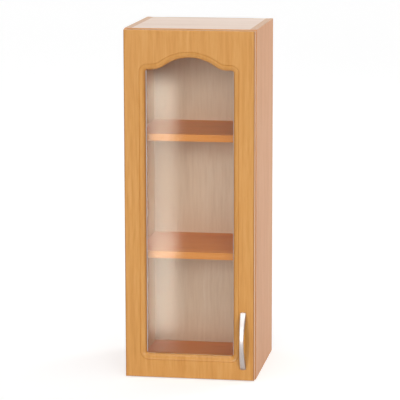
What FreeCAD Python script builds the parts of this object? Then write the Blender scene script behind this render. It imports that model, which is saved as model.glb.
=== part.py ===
"""Glazed wall cabinet: a chipboard carcass, two loose shelves and one arched glass door on cup hinges.

Millimetres, +Z up, front towards -Y. The wall is the plane y = 0, and the origin lies on it, midway
between the two hanging hooks and at the height of their seats.
"""
import FreeCAD, Part
import os
import types
import Sketcher

doc = FreeCAD.newDocument("wall_cabinet")
sheet = doc.addObject("Spreadsheet::Sheet", "Sizes")

DRIVING_SIZES = {
    # Carcass
    "carcass_width": 300, "carcass_height": 800, "carcass_depth": 279, "board": 16, "edge_band": 1,
    "hook_line_depth": 48,
    # Back panel, let into a rebate of the sides, with a notch in each upper corner for the hooks
    "back_thickness": 3, "back_rebate": 8, "back_play": 0.2, "notch_width": 38, "notch_height": 82,
    "nail_radius": 0.7, "nail_length": 20, "nail_head_radius": 1.8, "nail_head": 0.8, "nail_inset": 4,
    # Dowels, connecting bolts and cam locks at the four corners
    "dowel_radius": 4, "dowel_length": 30, "dowel_inset": 45, "fit_play": 0.05, "bore_play": 0.5,
    "bolt_inset": 77, "bolt_thread_radius": 2.5, "bolt_thread": 11, "bolt_radius": 3, "bolt_reach": 24,
    "bolt_head_radius": 3.6, "bolt_head": 3, "bolt_bore_radius": 4,
    "cam_radius": 7.5, "cam_height": 12.5, "cam_slot_width": 1.6, "cam_slot_depth": 2, "cam_slot_length": 9,
    # Shelves and their pins
    "shelf_play": 0.5, "shelf_setback": 39, "pin_radius": 2.5, "pin_depth": 9.5, "pin_hole_depth": 11,
    "pin_seat": 8, "pin_inset": 32, "pin_hole_pitch": 32,
    # Door, one routed board
    "door_reveal": 1.5, "door_thickness": 18, "door_gap": 3, "door_edge_radius": 3,
    "stile": 48.5, "bottom_rail": 54.5, "top_rail": 61.5, "arch_rise": 28, "shoulder_run": 14.35,
    "blend_radius": 47, "opening_corner_radius": 5,
    "moulding_width": 12, "moulding_depth": 9, "moulding_start": 0.5, "moulding_radius": 14,
    "groove_width": 1.6, "groove_depth": 1.2,
    # Glass, its seal, and the strips and screws that hold it from behind
    "glass_thickness": 4, "seal_thickness": 0.5, "seal_width": 5, "seal_show": 1.5, "rebate_lip": 6,
    "glass_play": 0.5,
    "bead_width": 9.5, "bead_thickness": 2.2, "bead_setback": 0.5, "bead_screw_inset": 2,
    "bead_screw_radius": 1, "bead_screw_length": 8, "bead_head_radius": 1.6, "bead_head": 0.8,
    # Bow handle
    "handle_inset": 25, "handle_height": 92, "handle_length": 135, "handle_rise": 30, "handle_end_width": 14,
    "handle_waist": 9.6, "handle_foot": 27, "grip_rise": 24.5, "handle_round": 1.8, "handle_hole_inset": 19.5,
    "handle_screw_radius": 2, "handle_screw_grip": 9, "handle_screw_head_radius": 4, "handle_screw_head": 2.4,
    # Cup hinges: the pin lies inside the door, near its edge
    "hinge_inset": 100, "axis_inset": 6.8, "axis_depth": 9.3, "hinge_pin_radius": 1.25,
    "hinge_pin_length": 17, "hinge_play": 0.03, "eye_wall": 1.25, "arm_thickness": 2.5, "arm_width": 11,
    "arm_offset": 14.5, "arm_bend": 1.5, "arm_reach": 58,
    "cup_inset": 20, "cup_radius": 17.5, "cup_depth": 12.8, "cup_wall": 0.6,
    "flange_lip": 0.7, "flange_thickness": 1.2, "flange_width": 16, "flange_length": 62,
    "ear_width": 4, "ear_side": 1.6, "ear_thickness": 1.8, "ear_gap": 0.8, "ear_height": 6,
    "spring_thickness": 0.5, "spring_length": 17, "spring_width": 6, "spring_gap": 4.5,
    "cup_screw_pitch": 48, "cup_screw_radius": 1.8, "cup_screw_length": 11, "cup_head_radius": 3.2,
    "cup_head": 1.4,
    "plate_thickness": 2, "plate_setback": 30, "plate_width": 14, "plate_length": 48, "rib_start": 22,
    "plate_screw_pitch": 32, "plate_screw_radius": 2, "plate_screw_length": 13, "plate_head_radius": 3.6,
    "plate_head": 1.8, "arm_fix_setback": 47, "arm_adjust_setback": 29, "arm_screw_radius": 2.5,
    "arm_head_radius": 4, "arm_head": 2.2,
    # Bumpers on the door's free side
    "bumper_radius": 4, "bumper_tip_radius": 3, "bumper_thickness": 2.7, "bumper_inset": 26,
    # Hangers in the upper rear corners
    "hanger_width": 18, "hanger_height": 54, "hanger_length": 44, "hanger_wall": 2, "hanger_below": 26,
    "hanger_rear": 14, "peg_radius": 5, "peg_length": 11, "peg_pitch": 32,
    "hook_clear": 3.5, "hook_tip": 2.5, "hook_mouth": 5, "hook_drop": 8, "hook_crown": 8, "hook_heel": 10,
    "hook_tail": 24, "hook_thickness": 4, "hook_boss": 10, "hook_boss_length": 12,
    "adjuster_radius": 2.5, "adjuster_head_radius": 4.5, "adjuster_head": 3.5, "adjuster_collar_radius": 4,
    "adjuster_collar": 1.5, "adjuster_play": 0.3, "adjuster_slot_width": 1.2, "adjuster_slot_depth": 1.6,
    # How far a cutting shape runs past what it cuts
    "overrun": 1,
}
# Places along a panel, as shares of its height or width
NAIL_SHARES = (0.06, 0.23, 0.40, 0.57, 0.74)
END_NAIL_SHARES = (-0.3, 0, 0.3)
BEAD_SCREW_SHARES = (0.06, 0.28, 0.5, 0.72, 0.94)
END_BEAD_SCREW_SHARES = (-0.3, 0.3)
SHELF_SHARES = (0.335, 0.675)


class Length:
    """A size and the sheet expression behind it, so that sums of sizes stay bound to the sheet."""

    def __init__(self, value, text):
        self.value = value
        self.text = text

    def __add__(self, other):
        other = as_length(other)
        return Length(self.value + other.value, f"({self.text} + {other.text})")

    def __sub__(self, other):
        other = as_length(other)
        return Length(self.value - other.value, f"({self.text} - {other.text})")

    def __mul__(self, other):
        other = as_length(other)
        return Length(self.value * other.value, f"({self.text} * {other.text})")

    def __truediv__(self, other):
        other = as_length(other)
        return Length(self.value / other.value, f"({self.text} / {other.text})")

    def __neg__(self):
        return Length(-self.value, f"(-1 * {self.text})")

    def __radd__(self, other):
        return as_length(other) + self

    def __rsub__(self, other):
        return as_length(other) - self

    def __rmul__(self, other):
        return as_length(other) * self


def as_length(item):
    return item if isinstance(item, Length) else Length(item, f"({item})")


def root(length):
    return Length(length.value ** 0.5, f"sqrt({length.text})")


def chord_radius(half_chord, rise):
    """The radius of an arc that rises so far above a chord."""
    return (half_chord * half_chord + rise * rise) / (2 * rise)


for row, (alias, number) in enumerate(DRIVING_SIZES.items(), start=1):
    sheet.set(f"A{row}", alias.replace("_", " "))
    sheet.set(f"B{row}", str(number))
    sheet.setAlias(f"B{row}", alias)
doc.recompute()
s = types.SimpleNamespace(**{name: Length(value, f"Sizes.{name}") for name, value in DRIVING_SIZES.items()})

nodes = []
ALONG = {
    "x": FreeCAD.Rotation(FreeCAD.Vector(0, 1, 0), 90),
    "y": FreeCAD.Rotation(FreeCAD.Vector(1, 0, 0), -90),
    "z": FreeCAD.Rotation(),
}


def node(obj, label):
    """Marks a finished piece of the cabinet."""
    obj.Label = label
    nodes.append(obj)
    return obj


def bind(obj, **sizes):
    for name, length in sizes.items():
        obj.setExpression(name, as_length(length).text)


def place(obj, x=0, y=0, z=0):
    for axis, length in zip("xyz", (x, y, z)):
        obj.setExpression(f"Placement.Base.{axis}", as_length(length).text)


def block(x, y, z):
    """A box between a low and a high place along each axis."""
    box = doc.addObject("Part::Box", "block")
    bind(box, Length=x[1] - x[0], Width=y[1] - y[0], Height=z[1] - z[0])
    place(box, x[0], y[0], z[0])
    return box


def rod(axis, start, length, radius):
    """A round bar that runs from its start in the positive direction of an axis."""
    bar = doc.addObject("Part::Cylinder", "rod")
    bar.Placement = FreeCAD.Placement(FreeCAD.Vector(), ALONG[axis])
    bind(bar, Radius=radius, Height=length)
    place(bar, *start)
    return bar


def taper(axis, start, length, start_radius, end_radius):
    cone = doc.addObject("Part::Cone", "taper")
    cone.Placement = FreeCAD.Placement(FreeCAD.Vector(), ALONG[axis])
    bind(cone, Radius1=start_radius, Radius2=end_radius, Height=length)
    place(cone, *start)
    return cone


def fuse(*solids):
    joined = doc.addObject("Part::MultiFuse", "fuse")
    joined.Shapes = list(solids)
    joined.Refine = True
    return joined


def cut(base, *tools):
    trimmed = doc.addObject("Part::Cut", "cut")
    trimmed.Base = base
    trimmed.Tool = fuse(*tools) if len(tools) > 1 else tools[0]
    return trimmed


def group(solids):
    """Like pieces that stay separate solids."""
    bundle = doc.addObject("Part::Compound", "group")
    bundle.Links = list(solids)
    return bundle


def sketch_on(body, plane):
    sketch = body.newObject("Sketcher::SketchObject", "sketch")
    origin_plane = [item for item in body.Origin.OriginFeatures if item.Role == plane][0]
    sketch.AttachmentSupport = [(origin_plane, "")]
    sketch.MapMode = "FlatFace"
    return sketch


def pin_point(sketch, geometry, end, point):
    """Ties a point of a sketch to its two places in the sheet."""
    for kind, length in zip(("DistanceX", "DistanceY"), point):
        index = sketch.addConstraint(Sketcher.Constraint(kind, geometry, end, as_length(length).value))
        sketch.setExpression(f"Constraints[{index}]", as_length(length).text)


def outline(sketch, corners):
    """A closed outline; a corner may carry the arc that leads to it, as (radius, centre, turns left).

    An edge of a sketch starts at its point 1 and ends at its point 2.
    """
    points = [FreeCAD.Vector(as_length(c[0]).value, as_length(c[1]).value, 0) for c in corners]
    tips = []
    for place_index, corner in enumerate(corners):
        before, here = points[place_index - 1], points[place_index]
        if len(corner) == 2:
            index = sketch.addGeometry(Part.LineSegment(before, here))
            tips.append((index, 1, 2))
            continue
        radius, centre, turns_left = corner[2]
        middle = FreeCAD.Vector(as_length(centre[0]).value, as_length(centre[1]).value, 0)
        circle = Part.Circle(middle, FreeCAD.Vector(0, 0, 1), radius.value)
        first, last = (before, here) if turns_left else (here, before)
        index = sketch.addGeometry(Part.ArcOfCircle(circle, circle.parameter(first), circle.parameter(last)))
        tips.append((index, 1, 2) if turns_left else (index, 2, 1))
    for place_index, (index, first, last) in enumerate(tips):
        follower, its_first, _ = tips[(place_index + 1) % len(tips)]
        sketch.addConstraint(Sketcher.Constraint("Coincident", index, last, follower, its_first))
        pin_point(sketch, index, last, corners[place_index][:2])
        if len(corners[place_index]) > 2:
            radius = corners[place_index][2][0]
            bound = sketch.addConstraint(Sketcher.Constraint("Radius", index, radius.value))
            sketch.setExpression(f"Constraints[{bound}]", radius.text)


def circles(sketch, spots):
    """Round holes, each as (first place, second place, radius); point 3 of a circle is its centre."""
    for first, second, radius in spots:
        middle = FreeCAD.Vector(as_length(first).value, as_length(second).value, 0)
        index = sketch.addGeometry(Part.Circle(middle, FreeCAD.Vector(0, 0, 1), radius.value))
        pin_point(sketch, index, 3, (first, second))
        bound = sketch.addConstraint(Sketcher.Constraint("Radius", index, radius.value))
        sketch.setExpression(f"Constraints[{bound}]", radius.text)


def rectangle(low_x, high_x, low_y, high_y):
    return [(low_x, low_y), (high_x, low_y), (high_x, high_y), (low_x, high_y)]


def pad(body, sketch, length, middle=False):
    feature = body.newObject("PartDesign::Pad", "pad")
    feature.Profile = sketch
    feature.Midplane = middle
    bind(feature, Length=length)
    doc.recompute()
    return feature


def pocket(body, sketch, depth, middle=False, forward=False):
    """Cuts a sketch out of a body, and stops if it removed nothing."""
    before = body.Shape.Volume
    feature = body.newObject("PartDesign::Pocket", "pocket")
    feature.Profile = sketch
    feature.Midplane = middle
    feature.Reversed = forward
    bind(feature, Length=depth)
    doc.recompute()
    if body.Shape.Volume >= before:
        raise RuntimeError(f"a pocket of {body.Label} cut nothing")
    return feature


# Levels and planes that the pieces share
TOP = s.hook_line_depth
BOTTOM = TOP - s.carcass_height
INNER = s.carcass_width / 2 - s.board
PANEL_FRONT = s.edge_band - s.carcass_depth
DOOR_BACK = -(s.carcass_depth + s.door_gap)
DOOR_FRONT = DOOR_BACK - s.door_thickness
DOOR_WIDTH = s.carcass_width - 2 * s.door_reveal
DOOR_HEIGHT = s.carcass_height - 2 * s.door_reveal
DOOR_BOTTOM = BOTTOM + s.door_reveal
DOOR_LEFT = -DOOR_WIDTH / 2
OPENING_WIDTH = DOOR_WIDTH - 2 * s.stile
OPENING_PEAK = DOOR_HEIGHT - s.top_rail
HINGE_LEVELS = {"lower": DOOR_BOTTOM + s.hinge_inset, "upper": DOOR_BOTTOM + DOOR_HEIGHT - s.hinge_inset}
SIDES = {"left": -1, "right": 1}
SHELF_LEVELS = {
    name: BOTTOM + share * s.carcass_height for name, share in zip(("lower", "upper"), SHELF_SHARES)
}
SHELF_FRONT = s.shelf_setback - s.carcass_depth
SHELF_BACK = -(s.back_thickness + s.shelf_play)
panel_holes = {name: [] for name in ("side_left", "side_right", "top", "bottom", "back")}


def span(side, near, far):
    """Low and high places of a piece that reaches from near to far on one side of the middle."""
    return (side * near, side * far) if side > 0 else (side * far, side * near)


def corner_joints():
    """Dowels, connecting bolts and cam locks where the top and bottom meet the sides."""
    dowels, bolts, cams = [], [], []
    levels = {"bottom": BOTTOM + s.board / 2, "top": TOP - s.board / 2}
    for side_name, side in SIDES.items():
        for panel, level in levels.items():
            holes = (panel_holes[f"side_{side_name}"], panel_holes[panel])
            for y in (-s.dowel_inset, s.dowel_inset - s.carcass_depth):
                start = side * INNER - s.dowel_length / 2
                dowels.append(rod("x", (start, y, level), s.dowel_length, s.dowel_radius))
                bore = rod("x", (start - s.bore_play, y, level), s.dowel_length + 2 * s.bore_play,
                           s.dowel_radius + s.fit_play)
                for panel_list in holes:
                    panel_list.append(bore)
            for y in (-s.bolt_inset, s.bolt_inset - s.carcass_depth):
                bolts.append(connecting_bolt(side, y, level, holes))
                cams.append(cam_lock(side, y, panel, level, holes[1]))
    node(group(dowels), "corner_dowels")
    node(group(bolts), "cam_bolts")
    node(group(cams), "cam_locks")


def connecting_bolt(side, y, level, holes):
    """A steel bolt screwed into the side; its head reaches into the cam."""
    thread = span(side, INNER, INNER + s.bolt_thread)
    stem = span(side, INNER - s.bolt_reach, INNER)
    head = span(side, INNER - s.bolt_reach - s.bolt_head, INNER - s.bolt_reach)
    tunnel = span(side, INNER - s.bolt_reach - s.bolt_head - s.cam_radius, INNER)
    length = s.bolt_thread + s.bore_play
    holes[0].append(rod("x", (span(side, INNER, INNER + length)[0], y, level), length,
                        s.bolt_thread_radius + s.fit_play))
    holes[1].append(rod("x", (tunnel[0], y, level), tunnel[1] - tunnel[0], s.bolt_bore_radius))
    return fuse(rod("x", (thread[0], y, level), s.bolt_thread, s.bolt_thread_radius),
                rod("x", (stem[0], y, level), s.bolt_reach, s.bolt_radius),
                rod("x", (head[0], y, level), s.bolt_head, s.bolt_head_radius))


def cam_lock(side, y, panel, level, holes):
    """A cast cam, let into the face that doesn't show, with a channel for the bolt and a cross slot."""
    face = level - s.board / 2
    x = side * (INNER - s.bolt_reach - s.bolt_head / 2)
    holes.append(rod("z", (x, y, face - s.overrun), s.cam_height + s.bore_play + s.overrun,
                     s.cam_radius + s.fit_play))
    reach = s.cam_radius + s.overrun
    channel = rod("x", (x - reach, y, level), 2 * reach, s.bolt_bore_radius)
    half_length, half_width = s.cam_slot_length / 2, s.cam_slot_width / 2
    depth = (face - s.overrun, face + s.cam_slot_depth)
    slots = [block((x - half_length, x + half_length), (y - half_width, y + half_width), depth),
             block((x - half_width, x + half_width), (y - half_length, y + half_length), depth)]
    return cut(rod("z", (x, y, face), s.cam_height, s.cam_radius), channel, *slots)


def shelves():
    """Two loose shelves, banded in front, each on four pins; the sides have spare holes for other heights."""
    columns = (SHELF_BACK - s.pin_inset, SHELF_FRONT + s.pin_inset)
    half = INNER - s.shelf_play
    for name, underside in SHELF_LEVELS.items():
        height = (underside, underside + s.board)
        node(block((-half, half), (SHELF_FRONT + s.edge_band, SHELF_BACK), height), f"shelf_{name}")
        band = block((-half, half), (SHELF_FRONT, SHELF_FRONT + s.edge_band), height)
        node(band, f"shelf_edge_band_{name}")
        pins = []
        axis_level = underside - s.pin_radius
        for side_name, side in SIDES.items():
            for y in columns:
                peg_x = span(side, INNER, INNER + s.pin_depth)[0]
                peg = rod("x", (peg_x, y, axis_level), s.pin_depth, s.pin_radius)
                seat = block(span(side, INNER - s.pin_seat, INNER), (y - s.pin_seat / 2, y + s.pin_seat / 2),
                             (underside - 2 * s.pin_radius, underside))
                pins.append(fuse(peg, seat))
                hole_x = span(side, INNER, INNER + s.pin_hole_depth)[0]
                for step in (-1, 0, 1):
                    hole = rod("x", (hole_x, y, axis_level + step * s.pin_hole_pitch), s.pin_hole_depth,
                               s.pin_radius + s.fit_play)
                    panel_holes[f"side_{side_name}"].append(hole)
        node(group(pins), f"shelf_pins_{name}")


def nail(x, z, other):
    """A nail driven from behind through the back panel into another board."""
    shank = rod("y", (x, -s.nail_length, z), s.nail_length - s.nail_head, s.nail_radius)
    head = rod("y", (x, -s.nail_head, z), s.nail_head, s.nail_head_radius)
    hole = rod("y", (x, -s.nail_length - s.bore_play, z), s.nail_length + s.bore_play + s.overrun,
               s.nail_radius + s.fit_play)
    sink = rod("y", (x, -s.nail_head, z), s.nail_head + s.overrun, s.nail_head_radius + s.fit_play)
    panel_holes[other].append(hole)
    panel_holes["back"].extend((hole, sink))
    return fuse(shank, head)


def back_panel():
    """Thin fibreboard in the rebates of the sides, nailed, notched at its upper corners for the hooks."""
    half = INNER + s.back_rebate - s.back_play
    notch = half - s.notch_width
    nails = []
    for side_name, side in SIDES.items():
        for share in NAIL_SHARES:
            level = BOTTOM + share * s.carcass_height
            nails.append(nail(side * (half - s.nail_inset), level, f"side_{side_name}"))
    for share in END_NAIL_SHARES:
        for panel, level in (("bottom", BOTTOM + s.board / 2), ("top", TOP - s.board / 2)):
            nails.append(nail(share * s.carcass_width, level, panel))
    body = doc.addObject("PartDesign::Body", "back_panel_body")
    sketch = sketch_on(body, "XZ_Plane")
    low, high = BOTTOM, TOP
    shelf = TOP - s.notch_height
    outline(sketch, [(-half, low), (half, low), (half, shelf), (notch, shelf), (notch, high), (-notch, high),
                     (-notch, shelf), (-half, shelf)])
    pad(body, sketch, s.back_thickness)
    node(cut(body, *panel_holes["back"]), "back_panel")
    node(group(nails), "back_nails")


def carcass_panels():
    """The four boards of the carcass, drilled for all that is fixed to them, and their front edge bands."""
    rear = -s.back_thickness
    for side_name, side in SIDES.items():
        outer = s.carcass_width / 2
        board = block(span(side, INNER, outer), (PANEL_FRONT, 0), (BOTTOM, TOP))
        rebate = block(span(side, INNER - s.overrun, INNER + s.back_rebate), (rear, s.overrun),
                       (BOTTOM - s.overrun, TOP + s.overrun))
        node(cut(board, rebate, *panel_holes[f"side_{side_name}"]), f"side_panel_{side_name}")
        node(block(span(side, INNER, outer), (-s.carcass_depth, PANEL_FRONT), (BOTTOM, TOP)),
             f"side_edge_band_{side_name}")
    for panel, low in (("bottom", BOTTOM), ("top", TOP - s.board)):
        height = (low, low + s.board)
        board = block((-INNER, INNER), (PANEL_FRONT, rear), height)
        node(cut(board, *panel_holes[panel]), f"{panel}_panel")
        node(block((-INNER, INNER), (-s.carcass_depth, PANEL_FRONT), height), f"{panel}_edge_band")


def opening_outline():
    """The arched opening, from the middle of its lower edge round to the left of it again."""
    half, corner = OPENING_WIDTH / 2, s.opening_corner_radius
    low, shoulder = s.bottom_rail, OPENING_PEAK - s.arch_rise
    blend_end = half - s.shoulder_run
    reach = chord_radius(blend_end, s.arch_rise)
    crown = reach - s.blend_radius
    bend_x = crown * blend_end / reach
    bend_z = shoulder + s.blend_radius * s.arch_rise / reach
    blend_middle = shoulder + s.blend_radius
    crown_middle = OPENING_PEAK - crown
    return [
        (0, low),
        (half - corner, low),
        (half, low + corner, (corner, (half - corner, low + corner), True)),
        (half, shoulder - corner),
        (half - corner, shoulder, (corner, (half - corner, shoulder - corner), True)),
        (blend_end, shoulder),
        (bend_x, bend_z, (s.blend_radius, (blend_end, blend_middle), False)),
        (-bend_x, bend_z, (crown, (0, crown_middle), True)),
        (-blend_end, shoulder, (s.blend_radius, (-blend_end, blend_middle), False)),
        (corner - half, shoulder),
        (-half, shoulder - corner, (corner, (corner - half, shoulder - corner), True)),
        (-half, low + corner),
        (corner - half, low, (corner, (corner - half, low + corner), True)),
    ]


def moulding_profile():
    """Section of what the router takes from the front: a fine groove, then a round falling to the glass."""
    front, low = -s.door_thickness, s.bottom_rail
    start = (front + s.moulding_start, low - s.moulding_width)
    foot = (front + s.moulding_depth, low)
    half_run, half_fall = s.moulding_width / 2, (s.moulding_depth - s.moulding_start) / 2
    half_chord_square = half_run * half_run + half_fall * half_fall
    lift = root(s.moulding_radius * s.moulding_radius / half_chord_square - 1)
    centre = (start[0] + half_fall + lift * half_run, start[1] + half_run - lift * half_fall)
    groove = start[1] - s.groove_width
    return [
        (front - s.overrun, low + s.overrun),
        (front - s.overrun, groove),
        (front, groove),
        (front + s.groove_depth, groove + s.groove_width / 2),
        start,
        (foot[0], foot[1], (s.moulding_radius, centre, False)),
        (front + s.moulding_depth, low + s.overrun),
    ]


def door_frame(back_bores):
    """One board, cut out under an arch, routed in front, rebated behind for a rectangular pane."""
    half = DOOR_WIDTH / 2
    body = doc.addObject("PartDesign::Body", "door_frame_body")
    blank = sketch_on(body, "XZ_Plane")
    outline(blank, rectangle(-half, half, 0, DOOR_HEIGHT))
    pad(body, blank, s.door_thickness)
    opening = sketch_on(body, "XZ_Plane")
    outline(opening, opening_outline())
    pocket(body, opening, s.door_thickness, forward=True)
    rebate = sketch_on(body, "XZ_Plane")
    reach = OPENING_WIDTH / 2 + s.rebate_lip
    outline(rebate, rectangle(-reach, reach, s.bottom_rail - s.rebate_lip, OPENING_PEAK + s.rebate_lip))
    pocket(body, rebate, s.glass_thickness + s.seal_thickness, forward=True)
    for spots, depth in back_bores:
        holes = sketch_on(body, "XZ_Plane")
        circles(holes, spots)
        pocket(body, holes, depth, forward=True)
    profile = sketch_on(body, "YZ_Plane")
    outline(profile, moulding_profile())
    doc.recompute()
    before = body.Shape.Volume
    router = body.newObject("PartDesign::SubtractivePipe", "moulding")
    router.Profile = profile
    router.Spine = (opening, [f"Edge{i + 1}" for i in range(opening.GeometryCount)])
    doc.recompute()
    if body.Shape.Volume >= before:
        raise RuntimeError("the moulding cut nothing")
    rim = []
    for index, edge in enumerate(router.Shape.Edges, start=1):
        box = edge.BoundBox
        near = s.overrun.value / 2
        flat = box.YLength < near and abs(box.YMin + s.door_thickness.value) < near
        at_side = abs(abs(box.Center.x) - half.value) < near
        at_end = min(abs(box.Center.z), abs(box.Center.z - DOOR_HEIGHT.value)) < near
        if flat and (at_side or at_end):
            rim.append(f"Edge{index}")
    rounding = body.newObject("PartDesign::Fillet", "rim")
    rounding.Base = (router, rim)
    bind(rounding, Radius=s.door_edge_radius)
    doc.recompute()
    place(body, 0, DOOR_BACK, DOOR_BOTTOM)
    node(body, "door_frame")


def glazing():
    """The pane, four strips that hold it, screwed on from behind, and its seal, which shows at the sides."""
    lip = s.rebate_lip - s.glass_play
    half = OPENING_WIDTH / 2
    low, high = DOOR_BOTTOM + s.bottom_rail, DOOR_BOTTOM + OPENING_PEAK
    seal_front = DOOR_BACK - s.glass_thickness - s.seal_thickness
    glass_front = DOOR_BACK - s.glass_thickness
    node(block((-half - lip, half + lip), (glass_front, DOOR_BACK), (low - lip, high + lip)), "door_glass")
    hollow = lip - s.seal_width
    ring = cut(block((-half - lip, half + lip), (seal_front, glass_front), (low - lip, high + lip)),
               block((s.seal_show - half, half - s.seal_show), (seal_front - s.overrun, glass_front + s.overrun),
                     (low - hollow, high + hollow)))
    node(ring, "glass_seal")
    near, far = s.bead_setback, s.bead_setback + s.bead_width
    depth = (DOOR_BACK, DOOR_BACK + s.bead_thickness)
    screw_at = far - s.bead_screw_inset
    spots = {
        "left": [(-half - screw_at, low + share * (high - low)) for share in BEAD_SCREW_SHARES],
        "right": [(half + screw_at, low + share * (high - low)) for share in BEAD_SCREW_SHARES],
        "bottom": [(share * OPENING_WIDTH, low - screw_at) for share in END_BEAD_SCREW_SHARES],
        "top": [(share * OPENING_WIDTH, high + screw_at) for share in END_BEAD_SCREW_SHARES],
    }
    strips = {
        "left": ((-half - far, -half - near), (low - far, high + far)),
        "right": ((half + near, half + far), (low - far, high + far)),
        "bottom": ((-half - near, half + near), (low - far, low - near)),
        "top": ((-half - near, half + near), (high + near, high + far)),
    }
    screws, bores = [], []
    for name, (x_range, z_range) in strips.items():
        holes = []
        for x, z in spots[name]:
            shank_start = depth[1] - s.bead_screw_length
            holes.append(rod("y", (x, depth[0] - s.overrun, z), s.bead_thickness + 2 * s.overrun,
                             s.bead_screw_radius + s.fit_play))
            screws.append(fuse(rod("y", (x, shank_start, z), s.bead_screw_length, s.bead_screw_radius),
                               rod("y", (x, depth[1], z), s.bead_head, s.bead_head_radius)))
            bores.append((x, z - DOOR_BOTTOM, s.bead_screw_radius + s.fit_play))
        node(cut(block(x_range, depth, z_range), *holes), f"glazing_strip_{name}")
    node(group(screws), "glazing_screws")
    return bores, s.bead_screw_length - s.bead_thickness + s.bore_play


def handle():
    """A cast bow with flat feet, drawn in at its waist, held by two screws from behind."""
    x, z = DOOR_WIDTH / 2 - s.handle_inset, DOOR_BOTTOM + s.handle_height
    half = s.handle_length / 2
    grip, pitch = half - s.handle_foot, half - s.handle_hole_inset
    outer, inner = chord_radius(half, s.handle_rise), chord_radius(grip, s.grip_rise)
    body = doc.addObject("PartDesign::Body", "handle_body")
    bow = sketch_on(body, "YZ_Plane")
    outline(bow, [
        (0, -half),
        (0, half, (outer, (outer - s.handle_rise, 0), False)),
        (0, grip),
        (0, -grip, (inner, (inner - s.grip_rise, 0), True)),
    ])
    pad(body, bow, s.handle_end_width, middle=True)
    waist = chord_radius(half, (s.handle_end_width - s.handle_waist) / 2)
    for side in (-1, 1):
        end_x, far_x = side * s.handle_end_width / 2, side * (s.handle_end_width / 2 + s.overrun)
        drawn_in = (waist, (side * (s.handle_waist / 2 + waist), 0), side > 0)
        scoop = sketch_on(body, "XZ_Plane")
        outline(scoop, [(end_x, -half, drawn_in), (far_x, -half), (far_x, half), (end_x, half)])
        pocket(body, scoop, 2 * s.handle_rise + 2 * s.overrun, middle=True)
    threads = sketch_on(body, "XZ_Plane")
    circles(threads, [(0, step * pitch, s.handle_screw_radius + s.fit_play) for step in (-1, 1)])
    bores = pocket(body, threads, s.handle_screw_grip + s.bore_play, forward=True)
    edges = []
    for index, edge in enumerate(bores.Shape.Edges, start=1):
        box = edge.BoundBox
        if box.YLength > s.handle_rise.value / 2 and box.ZLength > grip.value:
            edges.append(f"Edge{index}")
    rounding = body.newObject("PartDesign::Fillet", "handle_rounding")
    rounding.Base = (bores, edges)
    bind(rounding, Radius=s.handle_round)
    doc.recompute()
    place(body, x, DOOR_FRONT, z)
    node(body, "handle")
    screws, spots = [], []
    for level in (z - pitch, z + pitch):
        tip = DOOR_FRONT - s.handle_screw_grip
        screws.append(fuse(rod("y", (x, tip, level), DOOR_BACK - tip, s.handle_screw_radius),
                           rod("y", (x, DOOR_BACK, level), s.handle_screw_head, s.handle_screw_head_radius)))
        spots.append((x, level - DOOR_BOTTOM, s.handle_screw_radius + s.fit_play))
    node(group(screws), "handle_screws")
    return spots, s.door_thickness


def hinges():
    """Cup hinges: a cup let into the door, a bent arm on a plate on the side, and one pin through both."""
    axis_x, axis_y = DOOR_LEFT + s.axis_inset, DOOR_BACK - s.axis_depth
    cup_x = DOOR_LEFT + s.cup_inset
    arm_low = axis_x + s.arm_offset - s.arm_thickness / 2
    arm_high = arm_low + s.arm_thickness
    pins, springs, cup_screws, plate_screws, arm_screws = [], [], [], [], []
    cup_spots, screw_spots = [], []
    for name, level in HINGE_LEVELS.items():
        node(hinge_cup(cup_x, axis_x, axis_y, level), f"hinge_cup_{name}")
        node(hinge_arm(axis_x, axis_y, level), f"hinge_arm_{name}")
        node(hinge_plate(arm_low, level), f"hinge_plate_{name}")
        pin_start = (axis_x, axis_y, level - s.hinge_pin_length / 2)
        pins.append(rod("z", pin_start, s.hinge_pin_length, s.hinge_pin_radius))
        floor = DOOR_BACK - s.cup_depth + s.cup_wall
        leaf_x = axis_x + s.spring_gap
        springs.append(block((leaf_x, leaf_x + s.spring_length), (floor, floor + s.spring_thickness),
                             (level - s.spring_width / 2, level + s.spring_width / 2)))
        cup_spots.append((cup_x, level - DOOR_BOTTOM, s.cup_radius))
        for step in (-1, 1):
            z = level + step * s.cup_screw_pitch / 2
            top = DOOR_BACK + s.flange_thickness
            tip = (cup_x, top - s.cup_screw_length, z)
            cup_screws.append(fuse(rod("y", tip, s.cup_screw_length, s.cup_screw_radius),
                                   rod("y", (cup_x, top, z), s.cup_head, s.cup_head_radius)))
            screw_spots.append((cup_x, z - DOOR_BOTTOM, s.cup_screw_radius + s.fit_play))
            plate_screws.append(plate_screw(level + step * s.plate_screw_pitch / 2))
        for setback in (s.arm_fix_setback, s.arm_adjust_setback):
            y = setback - s.carcass_depth
            arm_screws.append(fuse(rod("x", (-INNER, y, level), arm_high + INNER, s.arm_screw_radius),
                                   rod("x", (arm_high, y, level), s.arm_head, s.arm_head_radius)))
    node(group(pins), "hinge_pins")
    node(group(springs), "hinge_springs")
    node(group(cup_screws), "hinge_cup_screws")
    node(group(plate_screws), "hinge_plate_screws")
    node(group(arm_screws), "hinge_arm_screws")
    return [(cup_spots, s.cup_depth), (screw_spots, s.cup_screw_length - s.flange_thickness + s.bore_play)]


def plate_screw(z):
    """A countersunk chipboard screw through the hinge plate into the side panel."""
    y = s.plate_setback + s.plate_width / 2 - s.carcass_depth
    tip = s.plate_thickness - s.plate_screw_length - INNER
    head = s.plate_thickness - s.plate_head - INNER
    panel_holes["side_left"].append(rod("x", (tip - s.bore_play, y, z), s.plate_screw_length + s.bore_play,
                                        s.plate_screw_radius + s.fit_play))
    return fuse(rod("x", (tip, y, z), s.plate_screw_length, s.plate_screw_radius),
                taper("x", (head, y, z), s.plate_head, s.plate_screw_radius, s.plate_head_radius))


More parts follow.
